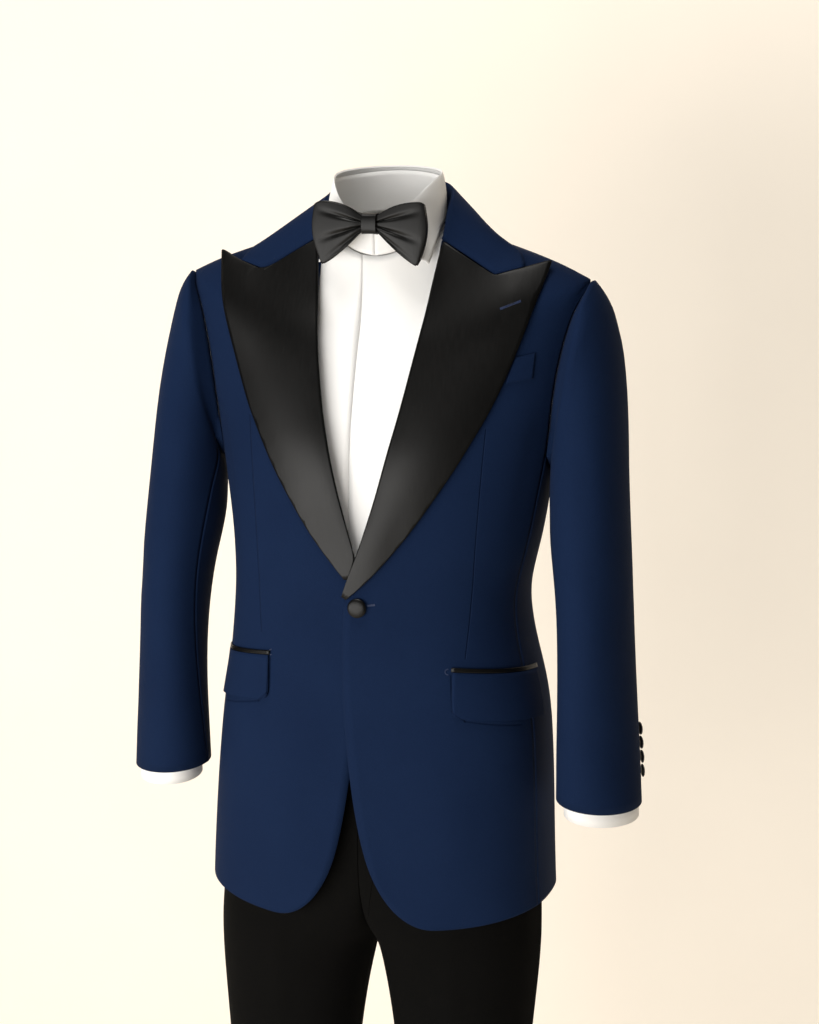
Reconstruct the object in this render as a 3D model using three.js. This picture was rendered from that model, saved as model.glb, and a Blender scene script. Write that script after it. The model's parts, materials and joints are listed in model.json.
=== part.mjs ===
import * as THREE from "three";

// Dinner suit worn on an upright body. Millimetres, +Z up, the front faces -Y, the wearer's left is +X.
// Z 0 is the point where the jacket's shoulder meets the neck; the origin lies midway between the shoulders.

// Walls and clearances
const JACKET_WALL = 2.0;
const LAPEL_WALL = 1.6;
const SHIRT_WALL = 1.0;
const TROUSER_WALL = 1.2;
const SATIN_WALL = 1.2;
const SEAM = 0.16; // each edge stands back by this from the line of its seam
const REST = 1.3; // air under a piece that lies on a curved front

// Fastened front
const OVERLAP_LIFT = 3.4; // the left front stands this far out where it covers the right one
const OVERLAP_BLEND = 46;
const BUTTON_Z = -399.5;
const FRONT_BUTTON = { across: 21, thick: 4.2 };
const SLEEVE_BUTTON = { across: 15, thick: 3.2, pitch: 15.2, count: 4 };

// The jacket and the trousers hang over to one side below the waist, and the jacket at its waist too:
// positive is the wearer's left.
const SWAY = { from: -470, over: 260, by: -5 };
const WAIST_SWAY = { at: -410, reach: 95, by: -6 };

const deg = (d) => (d * Math.PI) / 180;
const clamp = (x, lo, hi) => Math.min(hi, Math.max(lo, x));
const smooth = (x) => {
  const t = clamp(x, 0, 1);
  return t * t * (3 - 2 * t);
};
const lerp = (a, b, t) => a + (b - a) * t;
const V = (x, y, z) => new THREE.Vector3(x, y, z);
const sway = (z, left) => (left ? 1 : -1) * SWAY.by * smooth((SWAY.from - z) / SWAY.over);
const waistSway = (z, left) =>
  (left ? 1 : -1) * WAIST_SWAY.by * smooth(1 - Math.abs(z - WAIST_SWAY.at) / WAIST_SWAY.reach);
const times = (n) => [...Array(n).keys()];

// Rings of the jacket's body, hem to neck. A ring is a squared ellipse whose height changes round it.
const RING = ["zFront", "zSide", "zBack", "half", "yFront", "yBack", "square"];
const JACKET = [
  [-757, -736, -742, 196, -116, 112, 2.7],
  [-680, -674, -676, 193, -117, 113, 2.7],
  [-600, -598, -598, 189, -118, 112, 2.7],
  [-525, -525, -525, 184, -118, 106, 2.6],
  [-460, -460, -460, 172, -117, 97, 2.5],
  [-400, -400, -400, 165, -115, 91, 2.4],
  [-320, -320, -320, 176, -111, 103, 2.3],
  [-242, -242, -242, 188, -107, 113, 2.15],
  [-200, -185, -180, 198, -98, 117, 2.08],
  [-165, -130, -125, 208, -88, 114, 2.0],
  [-130, -85, -75, 218, -76, 104, 2.0],
  [-108, -57, -42, 223, -66, 90, 2.0],
  [-98, -43, -26, 194, -60, 82, 2.0],
  [-92, -28, -13, 150, -56, 75, 2.0],
  [-88, -13, -4, 100, -53, 69, 2.0],
  [-84, -4, 2, 72, -50, 66, 2.0],
];
const SHIRT = [
  [-540, -540, -540, 154, -94, 79, 2.3],
  [-500, -500, -500, 155, -96, 80, 2.3],
  [-460, -460, -460, 156, -98, 81, 2.4],
  [-430, -430, -430, 153, -100, 82, 2.4],
  [-400, -400, -400, 151, -100, 80, 2.3],
  [-360, -360, -360, 155, -99, 86, 2.3],
  [-320, -320, -320, 163, -97, 93, 2.2],
  [-252, -252, -252, 175, -94, 102, 2.15],
  [-205, -192, -188, 185, -87, 106, 2.08],
  [-170, -140, -135, 195, -77, 104, 2.0],
  [-136, -97, -88, 204, -66, 95, 2.0],
  [-116, -71, -58, 208, -57, 81, 2.0],
  [-102, -57, -42, 178, -52, 73, 2.0],
  [-84, -41, -28, 132, -49, 67, 2.0],
  [-66, -32, -22, 84, -47, 60, 2.0],
  [-34, -2, 5, 61.5, -46.5, 56.5, 2.0],
];

function ringAt(table, v) {
  const i = clamp(Math.floor(v), 0, table.length - 2);
  const t = v - i;
  const row = (k) => table[clamp(k, 0, table.length - 1)];
  const out = {};
  RING.forEach((name, c) => {
    const [a, b, d, e] = [row(i - 1)[c], row(i)[c], row(i + 1)[c], row(i + 2)[c]];
    const [m, n] = [(d - a) / 2, (e - b) / 2];
    const t2 = t * t, t3 = t2 * t;
    out[name] = (2 * t3 - 3 * t2 + 1) * b + (t3 - 2 * t2 + t) * m + (3 * t2 - 2 * t3) * d + (t3 - t2) * n;
  });
  return out;
}

// A point of a body: turn 0 is the centre front, 90 the wearer's left side, 180 the centre back.
function bodyPoint(table, turn, v) {
  const r = ringAt(table, v);
  const s = Math.sin(deg(turn)), c = Math.cos(deg(turn)), e = 2 / r.square;
  const y = (c > 0 ? r.yFront : r.yBack) * Math.abs(c) ** e;
  const z = r.zSide + ((c > 0 ? r.zFront : r.zBack) - r.zSide) * c * c;
  return V(r.half * Math.sign(s) * Math.abs(s) ** e, y, z);
}

function surfaceNormal(point, turn, v) {
  const du = point(turn + 0.4, v).sub(point(turn - 0.4, v));
  const dv = point(turn, v + 0.02).sub(point(turn, v - 0.02));
  return du.cross(dv).normalize();
}

// The jacket's outer face on one side, with the left front lifted over the right one at the fastening.
function jacketPoint(turn, v, left) {
  const p = bodyPoint(JACKET, turn, v);
  p.x += sway(p.z, left) + waistSway(p.z, left);
  if (!left || turn > 60) return p;
  const over = smooth(1 - (p.x - 6) / OVERLAP_BLEND) * smooth((6.7 - v) / 0.9);
  return p.add(V(0, -OVERLAP_LIFT * over, 0));
}

// The turn at which a body's ring v reaches a given x on its front half.
function turnForX(point, x, v) {
  let lo = -40, hi = 90;
  for (let i = 0; i < 40; i++) {
    const mid = (lo + hi) / 2;
    if (point(mid, v).x < x) lo = mid;
    else hi = mid;
  }
  return (lo + hi) / 2;
}

// The depth of a front at (x, z) seen from the front, carried on past the top of the shoulder.
function frontDepth(point, x, z) {
  let last = null, before = null;
  for (let v = 0; v <= 15.001; v += 0.1) {
    const turn = turnForX(point, x, v);
    if (turn > 78) continue;
    const p = point(turn, v);
    if (last && p.z <= last.z) continue;
    if (last && last.z <= z && p.z >= z) return lerp(last.y, p.y, (z - last.z) / (p.z - last.z));
    before = last;
    last = p;
  }
  if (!before) return last.y;
  const slope = clamp((last.y - before.y) / (last.z - before.z), 0, 0.25);
  return last.y + slope * (z - last.z);
}

// Reads a curve of [at, value] pairs.
function along(curve, at) {
  if (at <= curve[0][0]) return curve[0][1];
  for (let i = 1; i < curve.length; i++)
    if (at <= curve[i][0])
      return lerp(curve[i - 1][1], curve[i][1], (at - curve[i - 1][0]) / (curve[i][0] - curve[i - 1][0]));
  return curve[curve.length - 1][1];
}

// Meshes

function solid(name, material, positions, faces) {
  let volume = 0;
  for (const [a, b, c] of faces)
    volume += positions[a].dot(positions[b].clone().cross(positions[c]));
  const index = volume < 0 ? faces.map(([a, b, c]) => [a, c, b]) : faces;
  const g = new THREE.BufferGeometry();
  g.setAttribute("position", new THREE.Float32BufferAttribute(positions.flatMap((p) => [p.x, p.y, p.z]), 3));
  g.setIndex(index.flat());
  g.computeVertexNormals();
  const mesh = new THREE.Mesh(g, material());
  mesh.name = name;
  return mesh;
}

// The outward normals of a grid of points, by its own differences.
function gridNormals(grid, ring, flip = 1) {
  const rows = grid.length, cols = grid[0].length;
  return grid.map((row, i) =>
    row.map((p, j) => {
      const left = ring ? row[(j + cols - 1) % cols] : row[Math.max(0, j - 1)];
      const right = ring ? row[(j + 1) % cols] : row[Math.min(cols - 1, j + 1)];
      const down = grid[Math.max(0, i - 1)][j], up = grid[Math.min(rows - 1, i + 1)][j];
      const n = right.clone().sub(left).cross(up.clone().sub(down));
      return n.normalize().multiplyScalar(flip);
    }),
  );
}

// Moves the edges of a grid back from their seams, along the lines that meet them.
function standBack(grid, sides) {
  const rows = grid.length, cols = grid[0].length;
  const out = grid.map((row) => row.map((p) => p.clone()));
  const move = (i, j, i2, j2, gap, ti, tj, ti2, tj2) => {
    const d = grid[i2][j2].clone().sub(grid[i][j]).normalize();
    const edge = grid[ti2][tj2].clone().sub(grid[ti][tj]).normalize();
    const sine = Math.sqrt(Math.max(0.09, 1 - d.dot(edge) ** 2));
    out[i][j].addScaledVector(d, gap / sine);
  };
  for (let i = 0; i < rows; i++) {
    const [a, b] = [Math.max(0, i - 1), Math.min(rows - 1, i + 1)];
    if (sides.in) move(i, 0, i, 1, sides.in, a, 0, b, 0);
    if (sides.out) move(i, cols - 1, i, cols - 2, sides.out, a, cols - 1, b, cols - 1);
  }
  for (let j = 0; j < cols; j++) {
    const [a, b] = [Math.max(0, j - 1), Math.min(cols - 1, j + 1)];
    if (sides.low) move(0, j, 1, j, sides.low, 0, a, 0, b);
    if (sides.high) move(rows - 1, j, rows - 2, j, sides.high, rows - 1, a, rows - 1, b);
  }
  return out;
}

// A cloth wall: a grid of outer points and its copy moved in by the wall, closed round their edges.
function cloth(name, material, grid, normals, wall, ring = false) {
  const rows = grid.length, cols = grid[0].length;
  const inner = grid.map((row, i) => row.map((p, j) => p.clone().addScaledVector(normals[i][j], -wall)));
  const positions = [...grid.flat(), ...inner.flat()];
  const at = (i, j, side) => side * rows * cols + i * cols + (ring ? (j + cols) % cols : j);
  const faces = [];
  const quad = (a, b, c, d) => faces.push([a, b, c], [a, c, d]);
  const last = ring ? cols : cols - 1;
  for (let i = 0; i < rows - 1; i++)
    for (let j = 0; j < last; j++) {
      quad(at(i, j, 0), at(i, j + 1, 0), at(i + 1, j + 1, 0), at(i + 1, j, 0));
      quad(at(i, j, 1), at(i + 1, j, 1), at(i + 1, j + 1, 1), at(i, j + 1, 1));
    }
  for (let j = 0; j < last; j++) {
    quad(at(0, j, 0), at(0, j, 1), at(0, j + 1, 1), at(0, j + 1, 0));
    quad(at(rows - 1, j, 0), at(rows - 1, j + 1, 0), at(rows - 1, j + 1, 1), at(rows - 1, j, 1));
  }
  if (!ring)
    for (let i = 0; i < rows - 1; i++) {
      quad(at(i, 0, 0), at(i + 1, 0, 0), at(i + 1, 0, 1), at(i, 0, 1));
      quad(at(i, cols - 1, 0), at(i, cols - 1, 1), at(i + 1, cols - 1, 1), at(i + 1, cols - 1, 0));
    }
  return solid(name, material, positions, faces);
}

// The wearer's right is the mirror image of what is worked out for the left.
const mirror = (grid) => grid.map((row) => row.map((p) => V(-p.x, p.y, p.z)));
const SIDES = [
  { tag: "l", left: true, place: (grid) => grid },
  { tag: "r", left: false, place: mirror },
];

const cloths = (color, roughness) => () => new THREE.MeshStandardMaterial({ color, roughness });
const navy = cloths(0x1c2740, 0.85);
const satin = cloths(0x0d0d10, 0.35);
const white = cloths(0xf0efec, 0.7);
const black = cloths(0x121216, 0.85);

const group = new THREE.Group();
const add = (mesh) => group.add(mesh);

// Jacket body

// The front edges seen from the front, from the hem's cutaway up to the button, then the lapel's break.
// Height, the left front's reach and the right front's own, each positive towards its own side.
// The fronts hang a little to the wearer's right below the button.
const FRONT_EDGE = [
  [-757, 78, 92], [-750, 56, 70], [-735, 38, 53], [-712, 22, 37], [-680, 10, 25], [-640, 1, 16],
  [-600, -5, 9], [-565, -9, 4], [-520, -13, -2], [-460, -15, -9], [-395, -13.8, -12], [-370, -7.5, -9],
  [-348, 2.5, 2.5], [-286, 21.5, 21.5], [-243, 32.5, 32.5], [-198, 43.5, 43.5], [-140, 54.5, 54.5],
  [-81, 63, 63], [-45, 65.5, 65.5], [-18, 66.5, 66.5], [0, 68, 68],
];
const BODY_ROWS = [0, 0.2, 0.45, 0.75, 1.1, 1.6, 2.2, 3, 3.6, 4.3, 5, 5.35, 5.65, 6, 6.5, 7];
const CHEST_ROWS = [7.5, 8, 8.5, 9, 9.5, 10, 10.5, 11, 12, 13, 14, 15];
// Seams as pairs of ring and turn.
const SIDE_FRONT = [[0, 74], [4.5, 73], [6.3, 75], [7, 77]];
const SIDE_BACK = [[0, 117], [7, 118]];
const ARM_FRONT = [
  [7, 77], [7.5, 75.5], [8, 73], [8.5, 72], [9, 72], [9.5, 72.7], [10, 74.5], [10.5, 80], [11, 90],
];
const ARM_BACK = [
  [7, 118], [7.5, 114], [8, 110.5], [8.5, 108.5], [9, 107], [9.5, 106], [10, 104.5], [10.5, 99.5], [11, 90],
];
const JACKET_SEAMS = { sideFront: SIDE_FRONT, sideBack: SIDE_BACK, armFront: ARM_FRONT, armBack: ARM_BACK };
const ARM_DIP = 0.32; // the armhole's lowest point, in rings below its corners
const ARM_CORNER = 139; // where those corners come on the sleeve's rings, in degrees from the shoulder
const NECK_TURN = 66;

// The turn of the front edge on ring v: the edge is drawn in x and z, so its height is solved for.
function frontEdgeTurn(point, v, left) {
  if (v >= 15) return NECK_TURN;
  const edge = FRONT_EDGE.map(([z, onLeft, onRight]) => [z, left ? onLeft : onRight]);
  let turn = 5;
  for (let i = 0; i < 30; i++) {
    const x = along(edge, point(turn, v).z);
    turn = lerp(turn, turnForX(point, x, v), 0.6);
  }
  return v > 11 ? Math.min(turn, NECK_TURN) : turn;
}

// Columns spaced evenly between two turns of a ring.
function spread(v, from, to, count, dip = () => 0) {
  return times(count).map((j) => {
    const t = j / (count - 1);
    return { turn: lerp(from, to, t), v: v - dip(t) };
  });
}

function bodySheet(point, rows) {
  const grid = rows.map((row) => row.map(({ turn, v }) => point(turn, v)));
  const normals = rows.map((row) => row.map(({ turn, v }) => surfaceNormal(point, turn, Math.min(v, 14.97))));
  return { grid, normals };
}

const flipX = (normals, left) => (left ? normals : mirror(normals));
const armDip = (depth) => (t) => depth * Math.sin(Math.PI * t) ** 0.8;

function bodySheets(table, wall, material, names, settings) {
  const { rows, chest, cols, seams, frontTurn } = settings;
  for (const { tag, left, place } of SIDES) {
    const plain = (turn, v) => bodyPoint(table, turn, v);
    const point = settings.point ? (turn, v) => settings.point(turn, v, left) : plain;
    const edge = (side, arm, v) => (v <= 7 ? along(side, v) : v < 11 ? along(arm, v) : 90);
    const front = [...rows, ...chest].map((v) =>
      spread(v, frontTurn(point, v, left), edge(seams.sideFront, seams.armFront, v), cols.front));
    const side = rows.map((v) => {
      const dip = v === 7 ? armDip(ARM_DIP) : undefined;
      return spread(v, along(seams.sideFront, v), along(seams.sideBack, v), cols.side, dip);
    });
    const back = [...rows, ...chest].map((v) =>
      spread(v, edge(seams.sideBack, seams.armBack, v), 180, cols.back));
    const sheets = [
      [names.front, front, { in: settings.frontGap || 0, out: SEAM, high: SEAM }],
      [names.side, side, { in: SEAM, out: SEAM, high: SEAM }],
      [names.back, back, { in: SEAM, out: SEAM }],
    ];
    for (const [name, turns, gaps] of sheets) {
      if (!name) continue;
      const { grid, normals } = bodySheet(point, turns);
      add(cloth(name + "_" + tag, material, place(standBack(grid, gaps)), flipX(normals, left), wall));
    }
  }
}

bodySheets(JACKET, JACKET_WALL, navy, { front: "jacket_front", side: "jacket_side", back: "jacket_back" }, {
  point: jacketPoint,
  rows: BODY_ROWS,
  chest: CHEST_ROWS,
  cols: { front: 10, side: 6, back: 7 },
  seams: JACKET_SEAMS,
  frontTurn: frontEdgeTurn,
});

// Sleeves

// Rings of the left sleeve below its armhole: height and tilt, centre, half sizes outward and fore-aft,
// and twist.
const ARM = ["z", "tilt", "x", "y", "out", "fore", "twist"];
const SLEEVE = [
  [-160, 104, 210, 1, 17.5, 46, -7],
  [-170, 98, 216.5, 2, 24.5, 52, -12],
  [-195, 87, 221.2, 4, 30.5, 58, -18],
  [-241, 59, 226.5, -9, 37.5, 58, -12],
  [-303, 31, 229, -16, 41, 59, -4],
  [-370, 12, 238, -28, 39.5, 57, -7],
  [-440, 4, 243, -34, 38, 55, -13],
  [-510, 0, 246, -35, 39, 52.5, -21],
  [-570, -2, 247.5, -34, 41.8, 51, -29],
  [-614, -4, 248.5, -33, 43.2, 50, -36],
];
const SHIRT_SLEEVE = [
  [-148, 74, 201, 3, 15, 29, 0],
  [-186, 62, 217, 2, 20, 42, -8],
  [-238, 48, 230, -6, 26, 47, -7],
  [-300, 28, 236, -14, 29, 52, -3],
  [-370, 12, 240, -28, 31, 50.5, -7],
  [-440, 4, 243, -34, 31.5, 48.5, -13],
  [-510, 0, 246, -35, 32, 46, -21],
  [-551, -2, 248.2, -34.3, 32.5, 44.5, -27],
];

function armRing(row, angles) {
  const r = Object.fromEntries(ARM.map((name, i) => [name, row[i]]));
  const [c, s] = [Math.cos(deg(r.twist)), Math.sin(deg(r.twist))];
  return angles.map((a) => {
    const [ox, oy] = [r.out * Math.cos(deg(a)), -r.fore * Math.sin(deg(a))];
    return V(r.x + ox * c - oy * s, r.y + ox * s + oy * c, r.z + r.tilt * Math.cos(deg(a)));
  });
}

// The armhole as a loop from the shoulder down the front, under the arm and up the back.
function armLoop(table, seams, steps, under) {
  const front = steps.map((v) => bodyPoint(table, along(seams.armFront, v), v));
  const back = steps.map((v) => bodyPoint(table, along(seams.armBack, v), v));
  const low = times(under).map((k) => {
    const t = (k + 1) / (under + 1);
    return bodyPoint(table, lerp(seams.armFront[0][1], seams.armBack[0][1], t), 7 - armDip(ARM_DIP)(t));
  });
  // Without points of its own under the arm, the two corners are one.
  return [...front, ...low, ...back.reverse().slice(under ? 0 : 1, -1)];
}

function loopAngles(down, under) {
  const up = down - 1, corner = under ? ARM_CORNER : 180;
  return [
    ...times(down).map((k) => (corner * k) / (down - 1)),
    ...times(under).map((k) => corner + ((360 - 2 * corner) * (k + 1)) / (under + 1)),
    ...times(up).map((k) => 360 - corner + (corner * k) / up).slice(under ? 0 : 1),
  ];
}

function sleeveGrid(table, seams, steps, under, rings) {
  const loop = armLoop(table, seams, steps, under);
  const angles = loopAngles(steps.length, under);
  const lower = rings.map((row) => armRing(row, angles));
  const first = loop.map((p, k) => p.clone().add(lower[0][k].clone().sub(p).setLength(2 * SEAM + 0.1)));
  const grid = [first, ...lower];
  return { grid, normals: gridNormals(grid, true) };
}

const cut = (rows, from, to) =>
  rows.map((row) => times(to - from + 1).map((k) => row[(from + k) % row.length]));

const STEPS = [11, 10.5, 10, 9.5, 9, 8.5, 8, 7.5, 7];
const UNDER = 4; // points under the arm between the armhole's two corners
const sleeve = sleeveGrid(JACKET, JACKET_SEAMS, STEPS, UNDER, SLEEVE);
const FRONT_SEAM = 8, HIND_SEAM = 16;
for (const { tag, left, place } of SIDES) {
  const whole = sleeve.grid[0].length;
  const parts = [
    ["sleeve_top_", HIND_SEAM, whole + FRONT_SEAM],
    ["sleeve_under_", FRONT_SEAM, HIND_SEAM],
  ];
  for (const [name, from, to] of parts) {
    const grid = standBack(cut(sleeve.grid, from, to), { in: SEAM, out: SEAM });
    add(cloth(name + tag, navy, place(grid), flipX(cut(sleeve.normals, from, to), left), JACKET_WALL));
  }
}

// Lapels

// Outer edge of the left lapel seen from the front, from the peak down to the button.
const LAPEL_EDGE = [
  [186, -35], [183.5, -45], [179, -66], [168, -103], [148, -159], [133, -195], [120, -218], [102, -251],
  [84, -279], [62, -312], [41, -339], [17, -368], [-2, -384], [-9.5, -391],
];
// The seam of lapel and collar, from the break past the notch to the peak.
const GORGE = { neck: [70, -17], notch: [128, -52], peak: [186, -35] };
const COLLAR_REACH = 0.52; // the collar's leaf ends this far along from the notch to the peak
const TO_NOTCH = 4; // columns of the lapel and the collar between the neck and the notch
// A point of that seam: share 0 to 1 runs from the neck to the notch, 1 to 2 on to the peak.
const gorgePoint = (u) => {
  const [from, to, t] = u <= 1 ? [GORGE.neck, GORGE.notch, u] : [GORGE.notch, GORGE.peak, u - 1];
  return [lerp(from[0], to[0], t), lerp(from[1], to[1], t)];
};
const LAPEL_BREAK = [
  [70, -17], [67, -34], [64, -52], [61, -81], [57, -110], [52, -140], [46.5, -170], [41, -198], [35.5, -220],
  [30, -243], [24.5, -265], [19, -286], [12.5, -308], [6, -329], [0, -348], [-6, -361], [-11.5, -377],
  [-14.5, -388],
];

// The point at a share of a polyline's length.
function pathPoint(path, share) {
  const parts = path.slice(1).map((p, i) => Math.hypot(...p.map((c, k) => c - path[i][k])));
  let left = clamp(share, 0, 1) * parts.reduce((a, b) => a + b, 0);
  for (let i = 0; i < parts.length; i++) {
    if (left <= parts[i] || i === parts.length - 1)
      return path[i].map((c, k) => lerp(c, path[i + 1][k], left / parts[i]));
    left -= parts[i];
  }
}

const LAPEL_ROWS = 17;
const LAPEL_COLS = 8;
// The right lapel ends where the left front crosses it: its fold stops at the crossing, and its last
// row closes it beside the left front's edge.
const CROSSING = [1, -347];
const RIGHT_END = { inner: [9.4, -370], outer: [12.8, -370.4] };
const RIGHT_FOLD = [...LAPEL_BREAK.filter(([, z]) => z > CROSSING[1]), CROSSING];
const RIGHT_EDGE = [...LAPEL_EDGE.filter(([, z]) => z > -360), RIGHT_END.outer];
const lapelShape = (left) => {
  const last = LAPEL_ROWS - 1;
  return times(LAPEL_ROWS).map((i) => {
    const s = i / last;
    const rightInner = () => (i < last ? pathPoint(RIGHT_FOLD, i / (last - 1)) : RIGHT_END.inner);
    const inner = left ? pathPoint(LAPEL_BREAK, s) : rightInner();
    const outer = pathPoint(left ? LAPEL_EDGE : RIGHT_EDGE, s);
    return times(LAPEL_COLS).map((j) => {
      const t = j / (LAPEL_COLS - 1);
      const straight = [lerp(inner[0], outer[0], t), lerp(inner[1], outer[1], t)];
      const top = gorgePoint(j <= TO_NOTCH ? j / TO_NOTCH : 1 + (j - TO_NOTCH) / (LAPEL_COLS - 1 - TO_NOTCH));
      const pull = 1 - smooth(s / 0.16);
      return [lerp(straight[0], top[0], pull), lerp(straight[1], top[1], pull)];
    });
  });
};

// The lapel stands off the front at the neck, where it turns into the collar, and under the peak.
const LAPEL_RISE = { neck: 7, peak: 3.2 };
function lapelRise(s, t) {
  const neck = (1 - smooth(s / 0.2)) * (1 - smooth(t / 0.6));
  const peak = smooth((t - 0.4) / 0.5) * (1 - smooth((s - 0.06) / 0.3));
  return LAPEL_RISE.neck * neck + LAPEL_RISE.peak * peak;
}

function overFront(left, x, z, lift) {
  const point = (turn, v) => jacketPoint(turn, v, left);
  return V(x, frontDepth(point, x, z) - lift, z);
}

for (const { tag, left, place } of SIDES) {
  const shape = lapelShape(left);
  const grid = shape.map((row, i) =>
    row.map(([x, z], j) => {
      const t = j / (LAPEL_COLS - 1), s = i / (LAPEL_ROWS - 1);
      const roll = 2.6 * Math.sin(Math.PI * t ** 0.6) * smooth((1 - s) * 3);
      return overFront(left, x, z, REST + LAPEL_WALL + roll + lapelRise(s, t));
    }),
  );
  const normals = gridNormals(grid, false, 1);
  for (const row of normals) for (const n of row) if (n.y > 0) n.negate();
  add(cloth("lapel_" + tag, satin, place(grid), flipX(normals, left), LAPEL_WALL));
}

// Collar of the jacket

// The break that the collar is folded on, from the lapel's neck end round to the centre back.
const COLLAR_FOLD = [
  [71, -28, -16], [72, -20, 2], [71.8, -8, 18], [71.5, 8, 28], [66.5, 28, 35], [55, 47, 40], [37.5, 60, 43],
  [19, 67.5, 44.5], [0.001, 70, 45],
];
// Where the leaf's outer edge lies on the body, as turn and ring, and the turn of the neckline
// under the stand.
const LEAF_EDGE = [
  [69, 12.47], [79, 12.88], [88, 13.25], [98, 13.5], [112, 13.68], [128, 13.8], [145, 13.87],
  [162, 13.9], [180, 13.9],
];
const STAND_TURN = [66, 72, 80, 92, 108, 124, 142, 161, 180];
const COLLAR_WALL = 1.6;
const FOLD = { inner: 3.4, outer: 3.4, drop: 3.2 };
const LEAF_COLS = 5;

function collarStation(k) {
  const fold = V(...COLLAR_FOLD[k]);
  const out = V(fold.x, fold.y - 6, 0).normalize();
  const base = bodyPoint(JACKET, STAND_TURN[k], 15).add(V(0, 0, 0.7));
  const inside = fold.clone().addScaledVector(out, -FOLD.inner).add(V(0, 0, -FOLD.drop));
  const outside = fold.clone().addScaledVector(out, FOLD.outer).add(V(0, 0, -FOLD.drop));
  const stand = base.clone().lerp(inside, 0.5);
  const [turn, v] = LEAF_EDGE[k];
  const body = (t, r) => bodyPoint(JACKET, t, r);
  const hem = body(turn, v).addScaledVector(surfaceNormal(body, turn, v), REST + COLLAR_WALL);
  const leaf = times(LEAF_COLS).map((j) => {
    const t = (j + 1) / LEAF_COLS;
    return outside.clone().lerp(hem, t).addScaledVector(V(out.x, out.y, 0.9), 2.8 * Math.sin(Math.PI * t));
  });
  return [base, stand, inside, fold, outside, ...leaf];
}

// At the gorge the leaf follows the lapel's top edge and lies at the lapel's own depth.
function gorgeStation() {
  const leaf = times(LEAF_COLS + 2).map((j) => {
    const u = j <= TO_NOTCH ? j / TO_NOTCH : 1 + (COLLAR_REACH * (j - TO_NOTCH)) / (LEAF_COLS + 1 - TO_NOTCH);
    const t = (u <= 1 ? u * TO_NOTCH : TO_NOTCH + (u - 1) * (LAPEL_COLS - 1 - TO_NOTCH)) / (LAPEL_COLS - 1);
    const [x, z] = gorgePoint(u);
    const p = overFront(false, x, z, REST + COLLAR_WALL + lapelRise(0, t));
    return p.add(V(0.1, 0, 1.1));
  });
  const base = bodyPoint(JACKET, STAND_TURN[0], 15).add(V(0, 0, 1));
  const fold = leaf[0];
  const inside = fold.clone().add(V(-2.4, 4.6, -0.4));
  return [base, base.clone().lerp(inside, 0.5), inside, ...leaf];
}

const halfCollar = [gorgeStation(), ...times(COLLAR_FOLD.length - 1).map((k) => collarStation(k + 1))];
const collar = [...halfCollar, ...mirror(halfCollar).reverse().slice(1)];
const collarNormals = gridNormals(collar, false, 1);
if (collarNormals[8][8].y < 0) for (const row of collarNormals) for (const n of row) n.negate();
add(cloth("jacket_collar", navy, collar, collarNormals, COLLAR_WALL));

// Pockets

// How far the front end of each pocket is raised, and how far its rear end lies below it.
const POCKET = { left: { rise: 0, slant: 11 }, right: { rise: 4, slant: 15 } };

// A piece laid on the front and side, its rows given by their height at the front edge.
function laid(name, material, left, outline, cols, rest, wall, place) {
  const point = (turn, v) => jacketPoint(turn, v, left);
  const { rise, slant } = left ? POCKET.left : POCKET.right;
  const ringAtHeight = (z) => {
    let v = 4;
    for (let i = 0; i < 25; i++) v += (z - point(50, v).z) / 75;
    return v;
  };
  const rows = outline.map(([z, xFront, rearTurn]) => {
    const from = turnForX(point, xFront, ringAtHeight(z + rise));
    return times(cols).map((j) => {
      const t = j / (cols - 1);
      return { turn: lerp(from, rearTurn, t), v: ringAtHeight(z + rise - slant * t) };
    });
  });
  const grid = rows.map((row) =>
    row.map(({ turn, v }) => point(turn, v).addScaledVector(surfaceNormal(point, turn, v), rest + wall)));
  const normals = rows.map((row) => row.map(({ turn, v }) => surfaceNormal(point, turn, v)));
  add(cloth(name, material, place(grid), flipX(normals, left), wall));
}

// Height at the front edge, where the front edge is, and the turn of the rear edge.
const FLAP = [
  [-516, 113, 83], [-514.5, 107, 83.5], [-510, 103.6, 84], [-503, 102.6, 84], [-484, 102.6, 84],
  [-465.9, 103, 84],
];
const JET = [[-465.4, 101.5, 85], [-461, 101.5, 85]];
for (const { tag, left, place } of SIDES) {
  laid("pocket_flap_" + tag, navy, left, FLAP, 10, 0.9, 1.6, place);
  laid("pocket_jet_" + tag, satin, left, JET, 10, 0.85, 1.4, place);
}
// The breast welt shows between the lapel's edge and the armhole; it slants up towards the arm.
const WELT = { inner: 149, outer: 176, innerLow: -161.5, innerHigh: -134.5, rise: 4, rest: 0.7, wall: 1.2 };
const lapelEdgeByHeight = LAPEL_EDGE.map(([x, z]) => [z, x]).reverse();
const weltGrid = times(4).map((i) =>
  times(5).map((j) => {
    const [t, s] = [j / 4, i / 3];
    const z = lerp(WELT.innerLow, WELT.innerHigh, s) + WELT.rise * t;
    const inner = Math.max(WELT.inner, along(lapelEdgeByHeight, z) + 1);
    const x = lerp(inner, WELT.outer - 2 * (1 - s), t);
    return overFront(true, x, z, WELT.rest + WELT.wall);
  }),
);
const weltNormals = gridNormals(weltGrid, false, 1);
for (const row of weltNormals) for (const n of row) if (n.y > 0) n.negate();
add(cloth("breast_welt", navy, weltGrid, weltNormals, WELT.wall));

// Buttons

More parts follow.
